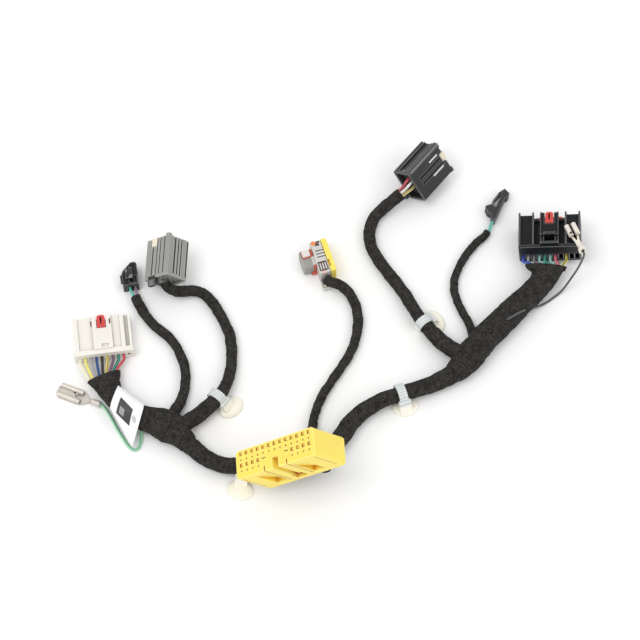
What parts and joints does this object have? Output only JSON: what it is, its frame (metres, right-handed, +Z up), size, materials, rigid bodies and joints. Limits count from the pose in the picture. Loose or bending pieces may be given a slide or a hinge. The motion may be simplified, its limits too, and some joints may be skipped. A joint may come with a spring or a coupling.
{
  "type": "wiring harness",
  "caption": "Automotive steering-wheel wiring harness: a cloth-taped trunk with branches to plastic connectors, loose crimp terminals, tie clips and a flag label.",
  "frame": {"origin": "middle of the harness on the surface that it lies on", "axes": "+X along the trunk from the white connector to the black one, +Y towards the branches' ends, +Z up from the surface"},
  "size_m": [0.246, 0.1826, 0.0543],
  "materials": {
    "ivory_plastic": "satin",
    "red_plastic": "satin",
    "wire_cream": "satin insulation",
    "wire_yellow": "satin insulation",
    "wire_grey": "satin insulation",
    "wire_blue": "satin insulation",
    "wire_black": "satin insulation",
    "wire_straw": "satin insulation",
    "wire_purple": "satin insulation",
    "wire_teal": "satin insulation",
    "wire_red": "satin insulation",
    "black_plastic": "satin",
    "wire_violet_blue": "satin insulation",
    "wire_pale_grey": "satin insulation",
    "wire_mid_grey": "satin insulation",
    "wire_pale_teal": "satin insulation",
    "wire_sea_green": "satin insulation",
    "wire_pink": "satin insulation",
    "yellow_plastic": "satin",
    "grey_plastic": "satin",
    "cream_plastic": "satin",
    "dark_plastic": "satin",
    "wire_rose": "satin insulation",
    "wire_white": "satin insulation",
    "gloss_black_plastic": "polished",
    "wire_aqua": "satin insulation",
    "wire_lilac": "satin insulation",
    "light_grey_plastic": "satin",
    "mid_grey_plastic": "satin",
    "orange_plastic": "satin",
    "tinned_metal": "bright tin plate",
    "label_film": "satin film",
    "nylon": "satin, slightly translucent",
    "cloth_tape": "woven cloth",
    "wire_mint": "satin insulation",
    "wire_dark_grey": "satin insulation"
  },
  "bodies": {
    "harness": {"white_housing": "ivory_plastic", "white_wire_1": "wire_cream", "white_wire_2": "wire_yellow", "white_wire_3": "wire_grey", "white_wire_4": "wire_blue", "white_wire_5": "wire_black", "white_wire_6": "wire_straw", "white_wire_7": "wire_purple", "white_wire_8": "wire_teal", "white_wire_9": "wire_red", "black_housing": "black_plastic", "black_wire_1": "wire_violet_blue", "black_wire_2": "wire_pale_grey", "black_wire_3": "wire_mid_grey", "black_wire_4": "wire_pale_teal", "black_wire_5": "wire_sea_green", "black_wire_6": "wire_pale_teal", "black_wire_7": "wire_pink", "black_wire_8": "wire_straw", "yellow_housing": "yellow_plastic", "yellow_wires": "wire_black", "grey_housing": "grey_plastic", "grey_retainer": "cream_plastic", "grey_cap": "black_plastic", "dark_housing": "dark_plastic", "dark_retainer": "cream_plastic", "dark_wire_1": "wire_rose", "dark_wire_2": "wire_white", "dark_wire_3": "wire_straw", "small_housing": "gloss_black_plastic", "small_wire_1": "wire_aqua", "small_wire_2": "wire_lilac", "oneway_housing": "dark_plastic", "oneway_wire": "wire_aqua", "squib_housing": "light_grey_plastic", "squib_block": "mid_grey_plastic", "squib_seal": "orange_plastic", "squib_cover": "yellow_plastic", "blade_terminal": "tinned_metal", "barrel_terminal": "tinned_metal", "flag_label": "label_film", "clip_left": "nylon", "clip_main": "nylon", "clip_centre": "nylon", "clip_right": "nylon", "left_joint": "cloth_tape", "left_trunk": "cloth_tape", "right_trunk": "cloth_tape", "right_joint": "cloth_tape", "main_joint": "cloth_tape", "small_branch": "cloth_tape", "grey_branch": "cloth_tape", "squib_branch": "cloth_tape", "dark_branch": "cloth_tape", "oneway_branch": "cloth_tape", "green_wire": "wire_mint", "thin_wire": "wire_dark_grey"},
    "white_lock": {"white_lock": "red_plastic"},
    "black_lock": {"black_lock": "red_plastic"},
    "yellow_lock": {"yellow_lock": "red_plastic"}
  },
  "joints": [
    {"name": "white_lock_slide", "type": "slide", "parent": "harness", "child": "white_lock", "axis": [-0.134, 0.991, 0], "range_m": [0, 0.003]},
    {"name": "black_lock_slide", "type": "slide", "parent": "harness", "child": "black_lock", "axis": [0.059, 0.9959, -0.068], "range_m": [0, 0.003]},
    {"name": "yellow_lock_slide", "type": "slide", "parent": "harness", "child": "yellow_lock", "axis": [-0.6281, -0.131, 0.7671], "range_m": [0, 0.003]}
  ]
}
